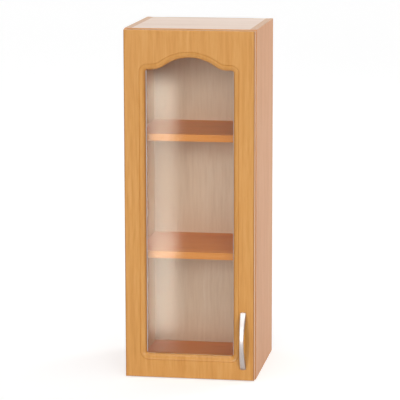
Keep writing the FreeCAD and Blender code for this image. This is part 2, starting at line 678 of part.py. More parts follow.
def hinge_plate(arm_low, level):
    """A cast plate on the side panel: a flat wing for the screws and a rib that carries the arm."""
    y_low = s.plate_setback - s.carcass_depth
    half = s.plate_length / 2
    wing = block((-INNER, s.plate_thickness - INNER), (y_low, y_low + s.plate_width),
                 (level - half, level + half))
    rib = block((-INNER, arm_low), (s.rib_start - s.carcass_depth, s.arm_reach - s.carcass_depth),
                (level - s.arm_width / 2, level + s.arm_width / 2))
    holes = []
    for step in (-1, 1):
        z = level + step * s.plate_screw_pitch / 2
        y = y_low + s.plate_width / 2
        head = s.plate_thickness - s.plate_head - INNER
        holes.append(rod("x", (-INNER - s.overrun, y, z), s.plate_thickness + 2 * s.overrun,
                         s.plate_screw_radius + s.fit_play))
        holes.append(taper("x", (head, y, z), s.plate_head, s.plate_screw_radius + s.fit_play,
                           s.plate_head_radius + s.fit_play))
    for setback in (s.arm_fix_setback, s.arm_adjust_setback):
        start = (-INNER - s.overrun, setback - s.carcass_depth, level)
        holes.append(rod("x", start, arm_low + INNER + 2 * s.overrun, s.arm_screw_radius + s.fit_play))
    return cut(fuse(wing, rib), *holes)


def hinge_arm(axis_x, axis_y, level):
    """A bent steel arm: an eye round the pin, a crank inside the cup, and a tail on the plate."""
    half, eye = s.arm_thickness / 2, s.hinge_pin_radius + s.hinge_play + s.eye_wall
    eye_end = root(eye * eye - half * half)
    near, far = s.arm_offset - half, s.arm_offset + half
    bend, outer_bend = s.arm_bend, s.arm_bend + s.arm_thickness
    tail = s.door_gap + s.axis_depth + s.arm_reach
    body = doc.addObject("PartDesign::Body", "hinge_arm_body")
    shape = sketch_on(body, "XY_Plane")
    outline(shape, [
        (eye_end, half, (eye, (0, 0), False)),
        (near - bend, half),
        (near, half + bend, (bend, (near - bend, half + bend), True)),
        (near, tail),
        (far, tail),
        (far, outer_bend - half),
        (far - outer_bend, -half, (outer_bend, (far - outer_bend, outer_bend - half), False)),
        (eye_end, -half),
    ])
    circles(shape, [(0, 0, s.hinge_pin_radius + s.hinge_play)])
    pad(body, shape, s.arm_width, middle=True)
    holes = sketch_on(body, "YZ_Plane")
    start = s.door_gap + s.axis_depth
    circles(holes, [(start + s.arm_fix_setback, 0, s.arm_screw_radius + s.fit_play),
                    (start + s.arm_adjust_setback, 0, s.arm_screw_radius + s.fit_play)])
    pocket(body, holes, 2 * (far + s.overrun), middle=True)
    place(body, axis_x, axis_y, level)
    return body


def hinge_cup(cup_x, axis_x, axis_y, level):
    """A pressed cup with a flange, and two ears inside that hold the pin."""
    floor = DOOR_BACK - s.cup_depth
    rim = DOOR_BACK + s.flange_thickness
    outer = s.cup_radius - s.fit_play
    half_wing, half_length = s.flange_width / 2, s.flange_length / 2
    shell = fuse(rod("y", (cup_x, floor, level), s.cup_depth, outer),
                 rod("y", (cup_x, DOOR_BACK, level), s.flange_thickness, s.cup_radius + s.flange_lip),
                 block((cup_x - half_wing, cup_x + half_wing), (DOOR_BACK, rim),
                       (level - half_length, level + half_length)))
    inside = (cup_x, floor + s.cup_wall, level)
    holes = [rod("y", inside, s.cup_depth + s.flange_thickness, outer - s.cup_wall)]
    for step in (-1, 1):
        holes.append(rod("y", (cup_x, DOOR_BACK - s.overrun, level + step * s.cup_screw_pitch / 2),
                         s.flange_thickness + 2 * s.overrun, s.cup_screw_radius + s.fit_play))
    ears = []
    for step in (-1, 1):
        near, far = s.arm_width / 2 + s.ear_gap, s.arm_width / 2 + s.ear_gap + s.ear_thickness
        z_range = (level + near, level + far) if step > 0 else (level - far, level - near)
        ear_low = axis_x - s.ear_side
        ears.append(block((ear_low, ear_low + s.ear_width), (floor, floor + s.ear_height), z_range))
    bore_start = (axis_x, axis_y, level - s.hinge_pin_length / 2 - s.overrun)
    bore = rod("z", bore_start, s.hinge_pin_length + 2 * s.overrun, s.hinge_pin_radius + s.hinge_play)
    return cut(fuse(cut(shell, *holes), *ears), bore)


def bumpers():
    """Two soft buffers that the door closes on."""
    x = s.carcass_width / 2 - s.board / 2
    levels = (DOOR_BOTTOM + s.bumper_inset, DOOR_BOTTOM + DOOR_HEIGHT - s.bumper_inset)
    buffers = [taper("y", (x, DOOR_BACK, z), s.bumper_thickness, s.bumper_radius, s.bumper_tip_radius)
               for z in levels]
    node(group(buffers), "door_bumpers")


def hangers():
    """In each upper rear corner: a housing pegged into the side, a hook and the screw that draws it in."""
    front = -(s.hanger_rear + s.hanger_length)
    rear = -s.hanger_rear
    low, high = -s.hanger_below, s.hanger_height - s.hanger_below
    wall = s.hanger_wall
    for side_name, side in SIDES.items():
        x = side * (INNER - s.hanger_width / 2)
        case = block(span(side, INNER - s.hanger_width, INNER), (front, rear), (low, high))
        hollow = block(span(side, INNER - s.hanger_width + wall, INNER - wall),
                       (front + wall, rear + s.overrun), (low + wall, high - wall))
        window = rod("y", (x, front - s.overrun, 0), wall + 2 * s.overrun,
                     s.adjuster_radius + s.adjuster_play)
        pegs = []
        for step in (-1, 1):
            spot = ((front + rear) / 2, (low + high) / 2 + step * s.peg_pitch / 2)
            peg = span(side, INNER, INNER + s.peg_length)
            pegs.append(rod("x", (peg[0], *spot), s.peg_length, s.peg_radius))
            hole = span(side, INNER, INNER + s.peg_length + s.bore_play)
            panel_holes[f"side_{side_name}"].append(rod("x", (hole[0], *spot), s.peg_length + s.bore_play,
                                                        s.peg_radius + s.fit_play))
        node(fuse(cut(case, hollow, window), *pegs), f"hanger_housing_{side_name}")
        node(hanging_hook(x), f"hanging_hook_{side_name}")
        node(adjusting_screw(x, front), f"hanger_screw_{side_name}")


def hanging_hook(x):
    """A steel hook, open below, on a threaded boss that runs on the adjusting screw."""
    rear, mouth_rear = -s.hook_clear, -s.hook_clear - s.hook_tip
    mouth_front = mouth_rear - s.hook_mouth
    front = mouth_front - s.hook_tail
    body = doc.addObject("PartDesign::Body", "hook_body")
    shape = sketch_on(body, "YZ_Plane")
    outline(shape, [(rear, s.hook_crown), (rear, -s.hook_drop), (mouth_rear, -s.hook_drop), (mouth_rear, 0),
                    (mouth_front, 0), (mouth_front, -s.hook_heel), (front, -s.hook_heel),
                    (front, s.hook_crown)])
    pad(body, shape, s.hook_thickness, middle=True)
    place(body, x)
    half = s.hook_boss / 2
    boss = block((x - half, x + half), (front, front + s.hook_boss_length), (-half, half))
    bore = rod("y", (x, front - s.overrun, 0), mouth_front - front, s.adjuster_radius + s.fit_play)
    return cut(fuse(body, boss), bore)


def adjusting_screw(x, front):
    """A screw held in the housing's front wall; turning it draws the hook forward or back."""
    collar_start = front + s.hanger_wall + s.adjuster_play
    boss_rear = -(s.hook_clear + s.hook_tip + s.hook_mouth + s.hook_tail) + s.hook_boss_length
    head_start = front - s.adjuster_play - s.adjuster_head
    shank = rod("y", (x, head_start, 0), boss_rear - head_start, s.adjuster_radius)
    collar = rod("y", (x, collar_start, 0), s.adjuster_collar, s.adjuster_collar_radius)
    head = rod("y", (x, head_start, 0), s.adjuster_head, s.adjuster_head_radius)
    reach, half = s.adjuster_head_radius + s.overrun, s.adjuster_slot_width / 2
    depth = (head_start - s.overrun, head_start + s.adjuster_slot_depth)
    return cut(fuse(shank, collar, head), block((x - reach, x + reach), depth, (-half, half)))


corner_joints()
shelves()
hangers()
hinge_bores = hinges()
back_panel()
carcass_panels()
glazing_bores = glazing()
handle_bores = handle()
bumpers()
door_frame([*hinge_bores, glazing_bores, handle_bores])

doc.recompute()
for item in doc.Objects:
    if "Invalid" in item.State or "Error" in item.State:
        raise RuntimeError(f"{item.Name} ({item.Label}) failed: {item.State}")
for piece in nodes:
    if piece.Shape.isNull() or not piece.Shape.isValid() or not piece.Shape.Solids:
        raise RuntimeError(f"{piece.Label} has no sound shape")
os.makedirs("parts", exist_ok=True)
for piece in nodes:
    piece.Shape.exportStep(f"parts/{piece.Label}.step")
print(f"{len(nodes)} pieces written")
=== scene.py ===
import math

import bpy
from mathutils import Matrix, Vector


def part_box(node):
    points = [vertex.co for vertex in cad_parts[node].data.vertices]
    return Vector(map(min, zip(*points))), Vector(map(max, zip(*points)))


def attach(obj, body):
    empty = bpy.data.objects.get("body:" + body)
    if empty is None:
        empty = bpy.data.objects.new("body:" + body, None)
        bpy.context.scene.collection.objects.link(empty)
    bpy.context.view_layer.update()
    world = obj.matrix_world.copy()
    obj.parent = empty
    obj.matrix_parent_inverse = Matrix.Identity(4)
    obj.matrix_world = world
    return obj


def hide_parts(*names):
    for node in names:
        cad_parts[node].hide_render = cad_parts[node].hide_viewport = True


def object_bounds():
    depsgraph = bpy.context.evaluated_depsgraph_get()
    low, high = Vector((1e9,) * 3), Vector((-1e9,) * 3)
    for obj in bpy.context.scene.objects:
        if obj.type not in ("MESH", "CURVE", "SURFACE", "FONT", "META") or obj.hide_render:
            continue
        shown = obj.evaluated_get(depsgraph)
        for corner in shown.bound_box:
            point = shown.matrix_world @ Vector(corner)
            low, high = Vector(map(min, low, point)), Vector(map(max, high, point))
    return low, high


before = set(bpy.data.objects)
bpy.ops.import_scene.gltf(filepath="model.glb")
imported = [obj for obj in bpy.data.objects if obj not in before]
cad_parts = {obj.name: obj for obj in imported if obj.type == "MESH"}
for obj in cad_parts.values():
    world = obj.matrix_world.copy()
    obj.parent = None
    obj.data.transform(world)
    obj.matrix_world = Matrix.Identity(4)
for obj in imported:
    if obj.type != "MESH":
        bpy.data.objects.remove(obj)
cad_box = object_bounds()


# Side panels
# Two upright chipboards with their grain upright: a printed beech film outside, a paler lining film inside.
# The films stop at the sawn edges and in the drilled holes, where the chips of the core show.
def colour(red, green, blue):
    """A colour written as it should look, 0 to 255, as the shader's own linear values."""
    parts = [part / 255 for part in (red, green, blue)]
    linear = [part / 12.92 if part <= 0.04045 else ((part + 0.055) / 1.055) ** 2.4 for part in parts]
    return (*linear, 1)


def new_finish(name, **sockets):
    """A material; what is the same all over it goes straight on its shader's sockets."""
    material = bpy.data.materials.new(name)
    material.use_nodes = True
    shader = material.node_tree.nodes["Principled BSDF"]
    for socket, value in sockets.items():
        shader.inputs[socket.replace("_", " ")].default_value = value
    return material, material.node_tree, shader


def lay(tree, kind, sockets=None, **settings):
    """One node, with its settings, and with a value or a link on each socket that is named."""
    node = tree.nodes.new(kind)
    for setting, value in settings.items():
        setattr(node, setting, value)
    for socket, value in (sockets or {}).items():
        if isinstance(value, bpy.types.NodeSocket):
            tree.links.new(value, node.inputs[socket])
        else:
            node.inputs[socket].default_value = value
    return node


def reckon(tree, operation, *parts):
    """The result of one sum on values and links."""
    return lay(tree, "ShaderNodeMath", dict(enumerate(parts)), operation=operation).outputs[0]


def grade(tree, value, begin, end, low, high, smooth=False):
    """A share that goes from low to high while a value goes from begin to end."""
    limits = {"Value": value, "From Min": begin, "From Max": end, "To Min": low, "To Max": high}
    kind = "SMOOTHSTEP" if smooth else "LINEAR"
    return lay(tree, "ShaderNodeMapRange", limits, interpolation_type=kind).outputs["Result"]


def where(tree, what="Object"):
    """The place of a point on its piece or, as Normal, the way that the surface looks there."""
    return lay(tree, "ShaderNodeTexCoord").outputs[what]


def along_axis(tree, vector, axis):
    return lay(tree, "ShaderNodeSeparateXYZ", {"Vector": vector}).outputs["xyz".index(axis)]


def wander(tree, reach, waves):
    """Places that drift from side to side by a few millimetres, as grown wood does."""
    place = where(tree)
    drift = lay(tree, "ShaderNodeTexNoise", {"Vector": place, "Scale": waves, "Detail": 1}).outputs["Color"]
    evened = lay(tree, "ShaderNodeVectorMath", {0: drift, 1: (0.5, 0.5, 0.5)}, operation="SUBTRACT")
    moved = lay(tree, "ShaderNodeVectorMath", {0: evened.outputs[0], 1: (reach, reach, reach), 2: place},
                operation="MULTIPLY_ADD")
    return moved.outputs[0]


def streaks(tree, across, along, axis, detail=4, distortion=0.0):
    """Noise drawn out along one axis; across and along are how many waves there are to a metre."""
    scale = [along if name == axis else across for name in "xyz"]
    drawn = lay(tree, "ShaderNodeMapping", {"Vector": wander(tree, reach=0.012, waves=7), "Scale": scale})
    noise = lay(tree, "ShaderNodeTexNoise", {"Vector": drawn.outputs["Vector"], "Scale": 1, "Detail": detail,
                                             "Roughness": 0.6, "Distortion": distortion})
    return noise.outputs["Fac"]


def blend_colours(tree, share, first, second):
    return lay(tree, "ShaderNodeMix", {0: share, 6: first, 7: second}, data_type="RGBA").outputs[2]


def ramp(tree, share, stops):
    """Colours along a share, each stop as (position, colour)."""
    node = lay(tree, "ShaderNodeValToRGB", {"Fac": share})
    marks = node.color_ramp.elements
    while len(marks) < len(stops):
        marks.new(0.5)
    for mark, (position, tone) in zip(marks, stops):
        mark.position = position
        mark.color = tone
    return node.outputs["Color"]


def wood_print(tree, dark, middle, light, axis, rings=None):
    """Printed grain: bands centimetres wide, fine streaks in them, short dark pores, and arched rings."""
    band_share, line_share, ring_share, pore_share = 0.45, 0.55, 0.06, 0.35
    bands = streaks(tree, across=30, along=2.6, axis=axis, detail=3, distortion=0.6)
    lines = streaks(tree, across=230, along=13, axis=axis, detail=4, distortion=0.3)
    figure = reckon(tree, "MULTIPLY_ADD", lines, line_share, reckon(tree, "MULTIPLY", bands, band_share))
    if rings:
        figure = reckon(tree, "MULTIPLY_ADD", reckon(tree, "SUBTRACT", rings, 0.5), ring_share, figure)
    tone = ramp(tree, figure, [(0.32, dark), (0.5, middle), (0.68, light)])
    specks = streaks(tree, across=1500, along=90, axis=axis, detail=2)
    pores = grade(tree, specks, 0.6, 0.72, 0, pore_share)
    return blend_colours(tree, pores, tone, dark), lines


def chip_core(tree, dark, light):
    """Sawn chipboard: chips of a few millimetres, each of its own tone."""
    chips = lay(tree, "ShaderNodeTexVoronoi", {"Vector": where(tree), "Scale": 520, "Randomness": 1})
    tone = lay(tree, "ShaderNodeSeparateColor", {"Color": chips.outputs["Color"]}).outputs[0]
    return ramp(tree, tone, [(0.0, dark), (0.45, light), (1.0, light)])


def facing(tree, axis):
    """One on the faces that look along an axis, on either side of the board."""
    size = reckon(tree, "ABSOLUTE", along_axis(tree, where(tree, "Normal"), axis))
    return reckon(tree, "GREATER_THAN", size, 0.5)


def looking(tree, axis, way):
    """One on the faces that look along an axis in one direction only, plus or minus."""
    turn = along_axis(tree, where(tree, "Normal"), axis)
    return reckon(tree, "GREATER_THAN" if way > 0 else "LESS_THAN", turn, 0.5 * way)


def relief(tree, shader, height, distance, edge=0.0004):
    """Bump from a pattern, over edges that are eased by a fraction of a millimetre."""
    eased = lay(tree, "ShaderNodeBevel", {"Radius": edge}, samples=4).outputs["Normal"]
    bump = lay(tree, "ShaderNodeBump", {"Height": height, "Distance": distance, "Strength": 1,
                                        "Normal": eased})
    tree.links.new(bump.outputs["Normal"], shader.inputs["Normal"])


def faced_board(name, film, face_axis, grain_axis, gloss=0.15, inner_film=None, inward=1):
    """Chipboard with a printed film on the faces along one axis; the inner face may have another film."""
    material, tree, shader = new_finish(name, Roughness=0.42, Specular_IOR_Level=gloss)
    printed, lines = wood_print(tree, *film, grain_axis)
    if inner_film:
        lining, _ = wood_print(tree, *inner_film, grain_axis)
        printed = blend_colours(tree, looking(tree, face_axis, inward), printed, lining)
    core = chip_core(tree, colour(206, 158, 120), colour(226, 186, 152))
    tree.links.new(blend_colours(tree, facing(tree, face_axis), core, printed), shader.inputs["Base Color"])
    relief(tree, shader, lines, distance=0.00004)
    return material


def dress(material, *names):
    for name in names:
        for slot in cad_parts[name].material_slots:
            slot.material = material


beech_film = [colour(210, 145, 95), colour(222, 159, 109), colour(229, 170, 122)]
lining_film = [colour(212, 164, 90), colour(223, 177, 102), colour(229, 187, 115)]
for side, inward in (("left", 1), ("right", -1)):
    board = faced_board(f"{side} side board", beech_film, "x", "z", inner_film=lining_film, inward=inward)
    dress(board, f"side_panel_{side}")


# Top and bottom panels
# Chipboard between the sides, its grain across the cabinet, with a reddish film on the faces inside.
# The upper face of the top panel has a paler film, painted light that stands in for the top looking washed
# out under the light from above.
red_film = [colour(233, 140, 50), colour(246, 155, 62), colour(250, 167, 74)]
red_board = faced_board("reddish film on chipboard", red_film, "z", "x")
dress(red_board, "bottom_panel")
# Painted light: this paler film makes the top look lit from above.
pale_film = [colour(232, 202, 181), colour(245, 220, 202), colour(250, 231, 216)]
pale_board = faced_board("pale film on chipboard", pale_film, "z", "x", gloss=0.3,
                         inner_film=red_film, inward=-1)
dress(pale_board, "top_panel")


# Carcass edge bands
# Thin printed strips that are glued over the front edges of the four boards.
# Those of the sides match their beech film; those of the top and bottom panels are a little warmer.
def edge_strip(name, film, grain_axis):
    material, tree, shader = new_finish(name, Roughness=0.38, Specular_IOR_Level=0.15)
    printed, lines = wood_print(tree, *film, grain_axis)
    tree.links.new(printed, shader.inputs["Base Color"])
    relief(tree, shader, lines, distance=0.00003)
    return material


dress(edge_strip("beech band, upright", beech_film, "z"), "side_edge_band_left", "side_edge_band_right")
warm_film = [colour(212, 152, 92), colour(224, 166, 106), colour(230, 176, 120)]
dress(edge_strip("warm band, lying", warm_film, "x"), "top_edge_band", "bottom_edge_band")


# Corner dowels, connecting bolts and cam locks
# Beech dowels and steel bolts in the boards' ends.
# Each bolt's head sits in a cast zinc cam with a cross slot.
def mottle(tree, waves, detail):
    """Cloudy noise, with so many waves to a metre."""
    noise = lay(tree, "ShaderNodeTexNoise", {"Vector": where(tree), "Scale": waves, "Detail": detail})
    return noise.outputs["Fac"]


def dimmed(tone, share):
    return tuple(share * part for part in tone[:3]) + (1,)


def metal(name, tone, roughness, waves=260):
    """Bare or plated metal, a little uneven in tone and gloss."""
    material, tree, shader = new_finish(name, Metallic=1.0)
    cloud = mottle(tree, waves, detail=4)
    tree.links.new(ramp(tree, cloud, [(0.3, dimmed(tone, 0.88)), (0.7, tone)]), shader.inputs["Base Color"])
    gloss = grade(tree, cloud, 0, 1, roughness - 0.05, roughness + 0.08)
    tree.links.new(gloss, shader.inputs["Roughness"])
    relief(tree, shader, cloud, distance=0.00001, edge=0.0002)
    return material


dowel_beech = [colour(190, 150, 100), colour(214, 178, 128), colour(226, 194, 148)]
dress(edge_strip("dowel beech", dowel_beech, "x"), "corner_dowels")
zinc_plate = metal("zinc plated steel", colour(208, 210, 212), roughness=0.34)
dress(zinc_plate, "cam_bolts")
cast_zinc = metal("cast zinc", colour(192, 194, 196), roughness=0.42, waves=900)
dress(cast_zinc, "cam_locks")


# Back panel
# Thin fibreboard, nailed into the rebates of the sides, with bare brown fibres behind.
# Inside it has a pale printed paper, with painted shade that makes it browner in its corners and next to the
# shelves.
def openness(tree, reach):
    """One in the open, and less where other surfaces stand close, within a reach."""
    return lay(tree, "ShaderNodeAmbientOcclusion", {"Distance": reach}, samples=8).outputs["AO"]


def fibre_back():
    material, tree, shader = new_finish("printed fibreboard", Roughness=0.55)
    paper, _ = wood_print(tree, colour(207, 186, 157), colour(216, 197, 169), colour(221, 205, 180), "z")
    # Painted shade: the paper turns brown where other boards stand within nine centimetres.
    corner = grade(tree, openness(tree, reach=0.09), 0.5, 1, 0.3, 0)
    paper = blend_colours(tree, corner, paper, colour(188, 138, 90))
    fibres = mottle(tree, waves=420, detail=8)
    bare = ramp(tree, fibres, [(0.3, colour(118, 80, 50)), (0.7, colour(164, 121, 82))])
    clouds = grade(tree, mottle(tree, waves=9, detail=3), 0.35, 0.65, 0, 0.3)
    bare = blend_colours(tree, clouds, bare, colour(176, 136, 96))
    tree.links.new(blend_colours(tree, looking(tree, "y", -1), bare, paper), shader.inputs["Base Color"])
    relief(tree, shader, fibres, distance=0.00006)
    return material


dress(fibre_back(), "back_panel")
dress(zinc_plate, "back_nails")


# Hangers
# A plastic housing pegged into each side, with a steel hook that grips the wall rail.
# A screw in the housing draws the hook in.
def moulded(name, tone, roughness):
    """Moulded plastic or rubber with a fine spark-eroded grain."""
    material, tree, shader = new_finish(name, Roughness=roughness)
    skin = mottle(tree, waves=2600, detail=3)
    grain = ramp(tree, skin, [(0.35, dimmed(tone, 0.86)), (0.65, tone)])
    tree.links.new(grain, shader.inputs["Base Color"])
    relief(tree, shader, skin, distance=0.00003, edge=0.0006)
    return material


def start(name, kind, **sizes):
    """A primitive, alone in the selection, with its place and turn put into its mesh."""
    bpy.ops.object.select_all(action="DESELECT")
    getattr(bpy.ops.mesh, f"primitive_{kind}_add")(**sizes)
    piece = bpy.context.object
    piece.name = name
    bpy.ops.object.transform_apply(location=True, rotation=True, scale=True)
    return piece


def take(piece):
    bpy.ops.object.select_all(action="DESELECT")
    piece.select_set(True)
    bpy.context.view_layer.objects.active = piece


def choose(piece, faces=None, edges=None):
    """Go into edit mode with the faces, or else the edges, that pass a test of their place."""
    take(piece)
    bpy.ops.object.mode_set(mode="EDIT")
    bpy.ops.mesh.select_mode(type="FACE" if faces else "EDGE")
    bpy.ops.mesh.select_all(action="DESELECT")
    bpy.ops.object.mode_set(mode="OBJECT")
    mesh = piece.data
    for face in mesh.polygons if faces else ():
        face.select = faces(face.center, face.normal)
    for edge in mesh.edges if edges else ():
        edge.select = edges(*(mesh.vertices[end].co for end in edge.vertices))
    bpy.ops.object.mode_set(mode="EDIT")


def leave():
    bpy.ops.object.mode_set(mode="OBJECT")


def join_in(piece, tool, operation="DIFFERENCE"):
    """Cut a tool's shape out of a piece, weld it on, or keep what both share, and put the tool away."""
    take(piece)
    bpy.ops.object.modifier_add(type="BOOLEAN")
    step = piece.modifiers[-1]
    step.operation = operation
    step.solver = "EXACT"
    step.object = tool
    bpy.ops.object.modifier_apply(modifier=step.name)
    bpy.data.objects.remove(tool)


def smooth(piece):
    take(piece)
    bpy.ops.object.shade_smooth_by_angle(angle=math.radians(35))


def ease(piece, width, segments):
    """Round every sharp edge, then shade the rounds smooth."""
    take(piece)
    bpy.ops.object.modifier_add(type="BEVEL")
    step = piece.modifiers[-1]
    step.width = width
    step.segments = segments
    step.limit_method = "ANGLE"
    step.angle_limit = math.radians(40)
    bpy.ops.object.modifier_apply(modifier=step.name)
    smooth(piece)


quarter = math.radians(90)


def hanger_case(name, low, high, inward):
    """A moulded box, open to the wall, with a ribbed inner side, a hole for the screwdriver and two pegs."""
    wall, panel_rim, panel_depth = 0.002, 0.0035, 0.0009
    rib_depth, rib_height, rib_seat, rib_end = 0.001, 0.0014, 0.0006, 0.003
    hole_radius, hole_depth = 0.0028, 0.012
    peg_radius, peg_length, peg_reach, peg_rise = 0.005, 0.012, 0.005, 0.016
    middle, size = (low + high) / 2, high - low
    case = start(name, "cube", size=1, location=middle, scale=size)
    choose(case, faces=lambda spot, normal: normal.y > 0.9)
    bpy.ops.mesh.inset(thickness=wall)
    bpy.ops.mesh.extrude_region_move(TRANSFORM_OT_translate={"value": (0, wall - size.y, 0)})
    leave()
    choose(case, faces=lambda spot, normal: normal.x * inward > 0.9
           and abs(spot.x - middle.x) > 0.4 * size.x)
    bpy.ops.mesh.inset(thickness=panel_rim)
    bpy.ops.mesh.extrude_region_move(TRANSFORM_OT_translate={"value": (-panel_depth * inward, 0, 0)})
    leave()
    face = middle.x + inward * size.x / 2
    for share in (-0.3, -0.1, 0.1, 0.3):
        rib = start("rib", "cube", size=1, scale=(rib_depth, size.y - 2 * rib_end, rib_height),
                    location=(face - rib_seat * inward, middle.y, middle.z + share * size.z))
        join_in(case, rib, "UNION")
    hole = start("hole", "cylinder", vertices=32, radius=hole_radius, depth=hole_depth,
                 location=(middle.x, low.y, 0), rotation=(quarter, 0, 0))
    join_in(case, hole)
    peg_middle = middle.x - inward * (size.x / 2 + peg_reach)
    for way in (-1, 1):
        peg = start("peg", "cylinder", vertices=32, radius=peg_radius, depth=peg_length,
                    location=(peg_middle, middle.y, middle.z + way * peg_rise), rotation=(0, quarter, 0))
        join_in(case, peg, "UNION")
    ease(case, width=0.0004, segments=2)
    return case


hanger_plastic = moulded("hanger plastic", colour(226, 222, 212), roughness=0.45)
for side, inward in (("left", 1), ("right", -1)):
    low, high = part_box(f"hanger_housing_{side}")
    pegs = Vector((0.011, 0, 0))
    if inward > 0:
        low = low + pegs
    else:
        high = high - pegs
    case = hanger_case(f"hanger_case_{side}", low, high, inward)
    case.data.materials.append(hanger_plastic)
    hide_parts(f"hanger_housing_{side}")
    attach(case, "carcass")
dress(zinc_plate, "hanging_hook_left", "hanging_hook_right", "hanger_screw_left", "hanger_screw_right")


# Shelf pins and shelves
# Steel pins in the sides carry two loose chipboards with the reddish film of the bottom panel.
# Their front edges are banded in the door's colour.
def loose_boxes(name):
    """The lowest and highest corner of each separate solid in a CAD node."""
    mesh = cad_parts[name].data
    spots = [tuple(round(part, 6) for part in vertex.co) for vertex in mesh.vertices]
    owner = {spot: spot for spot in spots}

    def chief(spot):
        while owner[spot] != spot:
            spot = owner[spot]
        return spot

    for face in mesh.polygons:
        for corner in face.vertices[1:]:
            owner[chief(spots[corner])] = chief(spots[face.vertices[0]])
    groups = {}
    for spot in owner:
        groups.setdefault(chief(spot), []).append(spot)
    return [(Vector(map(min, zip(*group))), Vector(map(max, zip(*group)))) for group in groups.values()]


def set_out(pattern, name, places):
    """Copies of one pattern, each with its own mesh at its own place, joined as one piece."""
    bpy.ops.object.select_all(action="DESELECT")
    for place in places:
        copy = bpy.data.objects.new(name, pattern.data.copy())
        copy.data.transform(place)
        bpy.context.scene.collection.objects.link(copy)
        copy.select_set(True)
        bpy.context.view_layer.objects.active = copy
    bpy.ops.object.join()
    bpy.data.objects.remove(pattern)
    piece = bpy.context.object
    piece.name = name
    return piece


hair = 0.0001
seat_reach, seat_height = 0.008, 0.005


def shelf_pin():
    """A pin for the right side, its axis on x: a peg for the hole and a flat seat with a rounded nose."""
    nose_from, nose_round, corner_round = -0.007, 0.0032, 0.002
    peg_radius, peg_length, peg_middle = 0.0025, 0.0105, 0.00425
    seat = start("seat", "cube", size=1, location=(-seat_reach / 2, 0, 0),
                 scale=(seat_reach, seat_reach, seat_height))
    choose(seat, edges=lambda one, other: max(one.x, other.x) < nose_from and max(one.z, other.z) < 0)
    bpy.ops.mesh.bevel(offset=nose_round, segments=5, affect="EDGES")
    leave()
    choose(seat, edges=lambda one, other: max(one.x, other.x) < nose_from and abs(one.y - other.y) < hair)
    bpy.ops.mesh.bevel(offset=corner_round, segments=4, affect="EDGES")
    leave()
    peg = start("peg", "cylinder", vertices=32, radius=peg_radius, depth=peg_length,
                location=(peg_middle, 0, 0), rotation=(0, quarter, 0))
    join_in(seat, peg, "UNION")
    ease(seat, width=0.0003, segments=2)
    return seat


nickel = metal("nickel plated steel", colour(218, 215, 208), roughness=0.28)
inner_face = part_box("side_panel_right")[0].x
for level in ("upper", "lower"):
    places = []
    for low, high in loose_boxes(f"shelf_pins_{level}"):
        on_right = low.x > 0
        face = inner_face if on_right else -inner_face
        seat = Vector((face, (low.y + high.y) / 2, high.z - seat_height / 2))
        places.append(Matrix.Translation(seat) @ Matrix.Rotation(0 if on_right else math.pi, 4, "Z"))
    pins = set_out(shelf_pin(), f"spoon_pins_{level}", places)
    pins.data.materials.append(nickel)
    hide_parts(f"shelf_pins_{level}")
    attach(pins, "carcass")
dress(red_board, "shelf_upper", "shelf_lower")
band_film = [colour(202, 123, 45), colour(214, 137, 56), colour(220, 148, 68)]
dress(edge_strip("orange band", band_film, "x"), "shelf_edge_band_upper", "shelf_edge_band_lower")


# Hinges
# Pressed and plated cup hinges: the cup in the door, the bent arm on a cast plate on the left side.
# Cross-headed screws hold the cups and the plates, and set the arms.
def cross_screw(head_radius, head, shank_radius, length, sunk=False):
    """A screw, head up, its top at the origin: a domed or sunk head, a cross recess and a pointed shank."""
    screw = start("screw", "cylinder", vertices=32, radius=head_radius, depth=head,
                  location=(0, 0, -head / 2))
    if not sunk:
        choose(screw, faces=lambda spot, normal: normal.z > 0.9)
        bpy.ops.mesh.bevel(offset=0.6 * head, segments=5, affect="EDGES")
        leave()
    choose(screw, faces=lambda spot, normal: normal.z < -0.9)
    if sunk:
        bpy.ops.transform.resize(value=(shank_radius / head_radius, shank_radius / head_radius, 1))
    else:
        bpy.ops.mesh.inset(thickness=head_radius - shank_radius)
    for share, narrow in ((0.8, 1), (0.2, 0.25)):
        bpy.ops.mesh.extrude_region_move(TRANSFORM_OT_translate={"value": (0, 0, share * (head - length))})
        bpy.ops.transform.resize(value=(narrow, narrow, 1))
    leave()
    slot_width, slot_reach = 0.26 * head_radius, 0.44 * head_radius
    slot_middle, slot_depth, slot_taper = -0.1 * head, 1.1 * head, 0.55
    recess = start("recess", "cube", size=1, location=(0, 0, slot_middle),
                   scale=(slot_width, slot_width, slot_depth))
    choose(recess, faces=lambda spot, normal: abs(normal.z) < 0.5)
    bpy.ops.mesh.extrude_faces_move(TRANSFORM_OT_shrink_fatten={"value": slot_reach})
    leave()
    choose(recess, faces=lambda spot, normal: normal.z < -0.9)
    bpy.ops.transform.resize(value=(slot_taper, slot_taper, 1))
    leave()
    join_in(screw, recess)
    smooth(screw)
    return screw


def drive(node, name, head_way, screw):
    """Copies of a screw in the places of a node's screws, each stopped at its own turn."""
    turn_step = 2.4
    lean = {"y": Matrix.Rotation(-quarter, 4, "X"), "x": Matrix.Rotation(quarter, 4, "Y")}[head_way]
    axis = "xyz".index(head_way)
    places = []
    for number, (low, high) in enumerate(loose_boxes(node)):
        top = (low + high) / 2
        top[axis] = high[axis]
        places.append(Matrix.Translation(top) @ lean @ Matrix.Rotation(turn_step * number, 4, "Z"))
    return set_out(screw, name, places)


dress(nickel, "hinge_cup_upper", "hinge_cup_lower", "hinge_arm_upper", "hinge_arm_lower")
dress(cast_zinc, "hinge_plate_upper", "hinge_plate_lower")
dress(metal("spring steel", colour(150, 152, 158), roughness=0.3), "hinge_springs", "hinge_pins")

cup_screw = cross_screw(head_radius=0.0032, head=0.0014, shank_radius=0.0018, length=0.0124)
cup_screws = drive("hinge_cup_screws", "cup_screws", "y", cup_screw)
cup_screws.data.materials.append(nickel)
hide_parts("hinge_cup_screws")
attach(cup_screws, "door")

